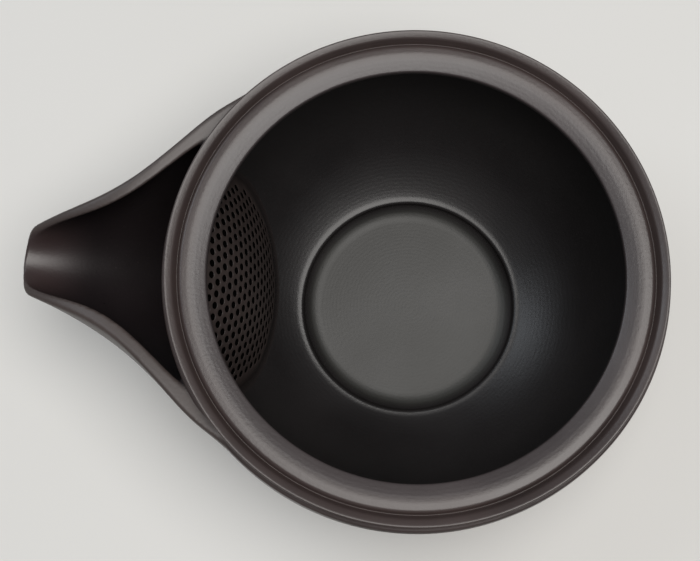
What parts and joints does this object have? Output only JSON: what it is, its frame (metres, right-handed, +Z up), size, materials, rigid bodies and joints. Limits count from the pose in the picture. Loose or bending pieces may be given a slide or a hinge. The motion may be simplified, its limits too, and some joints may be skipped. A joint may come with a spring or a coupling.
{
  "type": "hohin teapot",
  "caption": "Handleless side-pour teapot of dark unglazed clay: bowl with lid gallery, open spout, domed clay strainer, lift-off lid beside it.",
  "frame": {"origin": "centre of the pot's foot, on the table", "axes": "+Z up along the bowl's axis, -X along the spout, +Y to the far side; the lid lies on the -Y side"},
  "size_m": [0.1228, 0.1899, 0.0467],
  "materials": {
    "body_clay": "unglazed, wiped smooth, low sheen",
    "spout_clay": "unglazed, wiped smooth, low sheen",
    "strainer_clay": "unglazed, wiped smooth, low sheen",
    "lid_clay": "unglazed, wiped smooth, low sheen",
    "knob_clay": "unglazed, wiped smooth, low sheen"
  },
  "bodies": {
    "pot": {"pot_body": "body_clay", "spout": "spout_clay", "strainer": "strainer_clay"},
    "lid": {"lid": "lid_clay", "lid_knob": "knob_clay"}
  },
  "joints": [
    {"name": "lid_lift", "type": "slide", "parent": "pot", "child": "lid", "axis": [0, 0, 1], "range_m": [0, 0.06]}
  ]
}
